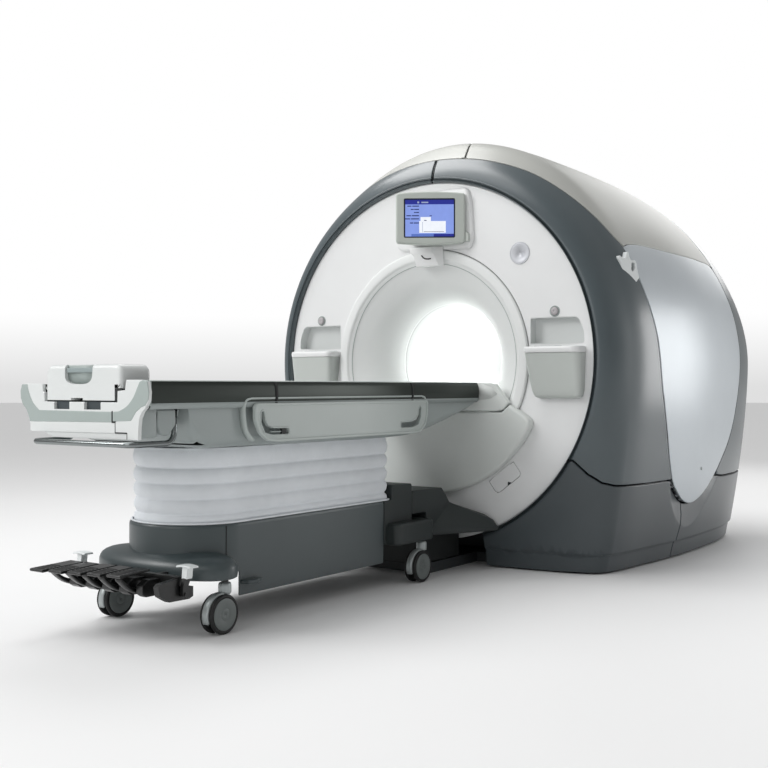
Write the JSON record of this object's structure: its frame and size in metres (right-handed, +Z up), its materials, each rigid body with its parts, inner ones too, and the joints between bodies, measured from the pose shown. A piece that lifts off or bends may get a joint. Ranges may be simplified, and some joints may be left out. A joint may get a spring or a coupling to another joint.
{
  "type": "mri scanner",
  "caption": "Hospital magnetic-resonance scanner: rounded gantry with an open patient bore and a detachable wheeled patient table docked to its front.",
  "frame": {"origin": "on the floor under the bore axis, in the plane of the gantry's front disc, on the base frame's bottom face", "axes": "+X to the right facing the gantry's front, +Y along the bore into the gantry, +Z up"},
  "size_m": [2.3414, 4.413, 2.2674],
  "materials": {
    "frame_steel": "satin",
    "vessel_steel": "brushed",
    "coil_resin": "matt",
    "bore_white": "satin",
    "disc_white": "satin gloss",
    "bezel_slate": "satin gloss",
    "base_slate": "satin gloss",
    "top_silver": "satin gloss",
    "panel_silver": "satin gloss",
    "housing_grey": "matt",
    "screen_glass": "glossy",
    "hook_white": "satin",
    "apron_grey": "satin",
    "dock_dark": "matt",
    "castor_silver": "satin",
    "castor_tread": "matt",
    "pedal_black": "satin",
    "pedal_white": "satin",
    "bellows_white": "soft matt",
    "table_dark": "satin",
    "hull_grey": "satin",
    "cap_white": "satin",
    "tube_steel": "polished",
    "rail_grey": "satin",
    "button_grey": "satin",
    "cradle_board": "satin"
  },
  "bodies": {
    "gantry": {"base_frame": "frame_steel", "magnet_vessel": "vessel_steel", "gradient_coil": "coil_resin", "bore_tube": "bore_white", "front_bell": "bore_white", "front_disc": "disc_white", "bezel_left": "bezel_slate", "bezel_right": "bezel_slate", "front_lower_cover_left": "base_slate", "front_lower_cover_right": "base_slate", "rear_lower_cover_left": "base_slate", "rear_lower_cover_right": "base_slate", "top_cover_left": "top_silver", "top_cover_right": "top_silver", "side_panel_left": "panel_silver", "side_panel_right": "panel_silver", "rear_bezel": "base_slate", "rear_disc": "disc_white", "display_housing": "housing_grey", "display_screen": "screen_glass", "light_box": "hook_white", "control_pod_left": "disc_white", "control_pod_right": "disc_white", "lifting_hooks": "hook_white", "dock_apron": "apron_grey", "bridge": "apron_grey", "dock_station": "dock_dark"},
    "table_cart": {"cart_frame": "frame_steel", "base_cover": "base_slate", "toe_cover": "base_slate", "head_block": "dock_dark", "bellows": "bellows_white"},
    "table_top": {"table_frame": "table_dark", "hull_cover": "hull_grey", "end_cap": "cap_white", "tube_handle": "tube_steel"},
    "cradle": {"cradle_board": "cradle_board", "cradle_block": "cap_white"},
    "access_door": {"access_door": "disc_white"},
    "key_left": {"key_left": "button_grey"},
    "key_right": {"key_right": "button_grey"},
    "stop_button_left": {"stop_button_left": "button_grey"},
    "stop_button_right": {"stop_button_right": "button_grey"},
    "side_rail_left": {"side_rail_left": "rail_grey"},
    "side_rail_right": {"side_rail_right": "rail_grey"},
    "foot_pedal_1": {"foot_pedal_1": "pedal_black"},
    "foot_pedal_2": {"foot_pedal_2": "pedal_black"},
    "foot_pedal_3": {"foot_pedal_3": "pedal_black"},
    "foot_pedal_4": {"foot_pedal_4": "pedal_black"},
    "foot_pedal_5": {"foot_pedal_5": "pedal_black"},
    "brake_pedal_left": {"brake_pedal_left": "pedal_white"},
    "brake_pedal_right": {"brake_pedal_right": "pedal_white"},
    "castor_fork_foot_right": {"castor_fork_foot_right": "castor_silver"},
    "castor_wheel_foot_right": {"castor_wheel_foot_right": "castor_tread"},
    "castor_fork_foot_left": {"castor_fork_foot_left": "castor_silver"},
    "castor_wheel_foot_left": {"castor_wheel_foot_left": "castor_tread"},
    "castor_fork_head_right": {"castor_fork_head_right": "castor_silver"},
    "castor_wheel_head_right": {"castor_wheel_head_right": "castor_tread"},
    "castor_fork_head_left": {"castor_fork_head_left": "castor_silver"},
    "castor_wheel_head_left": {"castor_wheel_head_left": "castor_tread"}
  },
  "joints": [
    {"name": "table_undock", "type": "slide", "parent": "gantry", "child": "table_cart", "axis": [0, -1, 0], "range_m": [0, 1.2]},
    {"name": "table_lift", "type": "slide", "parent": "table_cart", "child": "table_top", "axis": [0, 0, 1], "range_m": [-0.2, 0], "deforming": ["bellows"]},
    {"name": "cradle_travel", "type": "slide", "parent": "table_top", "child": "cradle", "axis": [0, 1, 0], "range_m": [0, 1.6]},
    {"name": "access_door_hinge", "type": "hinge", "parent": "gantry", "child": "access_door", "pos_m": [0.42849, 0, 0.49537], "axis": [-0.7986, 0, -0.6018], "range_deg": [0, 95]},
    {"name": "rail_lift_left", "type": "slide", "parent": "table_top", "child": "side_rail_left", "axis": [0, 0, 1], "range_m": [0, 0.16]},
    {"name": "rail_lift_right", "type": "slide", "parent": "table_top", "child": "side_rail_right", "axis": [0, 0, 1], "range_m": [0, 0.16]},
    {"name": "stop_press_left", "type": "slide", "parent": "gantry", "child": "stop_button_left", "axis": [0, 1, 0], "range_m": [0, 0.005], "stiffness_N_per_m": 500, "springref_m": -0.002},
    {"name": "key_press_left", "type": "slide", "parent": "gantry", "child": "key_left", "axis": [0, 0, -1], "range_m": [0, 0.0025], "stiffness_N_per_m": 400, "springref_m": -0.002},
    {"name": "stop_press_right", "type": "slide", "parent": "gantry", "child": "stop_button_right", "axis": [0, 1, 0], "range_m": [0, 0.005], "stiffness_N_per_m": 500, "springref_m": -0.002},
    {"name": "key_press_right", "type": "slide", "parent": "gantry", "child": "key_right", "axis": [0, 0, -1], "range_m": [0, 0.0025], "stiffness_N_per_m": 400, "springref_m": -0.002},
    {"name": "pedal_1_press", "type": "hinge", "parent": "table_cart", "child": "foot_pedal_1", "pos_m": [-0.237, -2.1, 0.176], "axis": [1, 0, 0], "range_deg": [0, 8], "stiffness_Nm_per_rad": 6, "springref_deg": -11.46},
    {"name": "pedal_2_press", "type": "hinge", "parent": "table_cart", "child": "foot_pedal_2", "pos_m": [-0.1275, -2.1, 0.176], "axis": [1, 0, 0], "range_deg": [0, 8], "stiffness_Nm_per_rad": 6, "springref_deg": -11.46},
    {"name": "pedal_3_press", "type": "hinge", "parent": "table_cart", "child": "foot_pedal_3", "pos_m": [-0.018, -2.1, 0.176], "axis": [1, 0, 0], "range_deg": [0, 8], "stiffness_Nm_per_rad": 6, "springref_deg": -11.46},
    {"name": "pedal_4_press", "type": "hinge", "parent": "table_cart", "child": "foot_pedal_4", "pos_m": [0.0915, -2.1, 0.176], "axis": [1, 0, 0], "range_deg": [0, 8], "stiffness_Nm_per_rad": 6, "springref_deg": -11.46},
    {"name": "pedal_5_press", "type": "hinge", "parent": "table_cart", "child": "foot_pedal_5", "pos_m": [0.201, -2.1, 0.176], "axis": [1, 0, 0], "range_deg": [0, 8], "stiffness_Nm_per_rad": 6, "springref_deg": -11.46},
    {"name": "brake_press_left", "type": "hinge", "parent": "table_cart", "child": "brake_pedal_left", "pos_m": [-0.286, -2.1, 0.176], "axis": [1, 0, 0], "range_deg": [0, 10], "stiffness_Nm_per_rad": 3, "springref_deg": -8.59},
    {"name": "brake_press_right", "type": "hinge", "parent": "table_cart", "child": "brake_pedal_right", "pos_m": [0.286, -2.1, 0.176], "axis": [1, 0, 0], "range_deg": [0, 10], "stiffness_Nm_per_rad": 3, "springref_deg": -8.59},
    {"name": "swivel_foot_right", "type": "hinge", "parent": "table_cart", "child": "castor_fork_foot_right", "pos_m": [0.285, -1.885, 0.17], "axis": [0, 0, 1], "continuous": true},
    {"name": "roll_foot_right", "type": "hinge", "parent": "castor_fork_foot_right", "child": "castor_wheel_foot_right", "pos_m": [0.285, -1.915, 0.075], "axis": [1, 0, 0], "continuous": true},
    {"name": "swivel_foot_left", "type": "hinge", "parent": "table_cart", "child": "castor_fork_foot_left", "pos_m": [-0.285, -1.885, 0.17], "axis": [0, 0, 1], "continuous": true},
    {"name": "roll_foot_left", "type": "hinge", "parent": "castor_fork_foot_left", "child": "castor_wheel_foot_left", "pos_m": [-0.285, -1.915, 0.075], "axis": [1, 0, 0], "continuous": true},
    {"name": "swivel_head_right", "type": "hinge", "parent": "table_cart", "child": "castor_fork_head_right", "pos_m": [0.285, -0.523, 0.17], "axis": [0, 0, 1], "continuous": true},
    {"name": "roll_head_right", "type": "hinge", "parent": "castor_fork_head_right", "child": "castor_wheel_head_right", "pos_m": [0.285, -0.553, 0.075], "axis": [1, 0, 0], "continuous": true},
    {"name": "swivel_head_left", "type": "hinge", "parent": "table_cart", "child": "castor_fork_head_left", "pos_m": [-0.285, -0.523, 0.17], "axis": [0, 0, 1], "continuous": true},
    {"name": "roll_head_left", "type": "hinge", "parent": "castor_fork_head_left", "child": "castor_wheel_head_left", "pos_m": [-0.285, -0.553, 0.075], "axis": [1, 0, 0], "continuous": true}
  ]
}
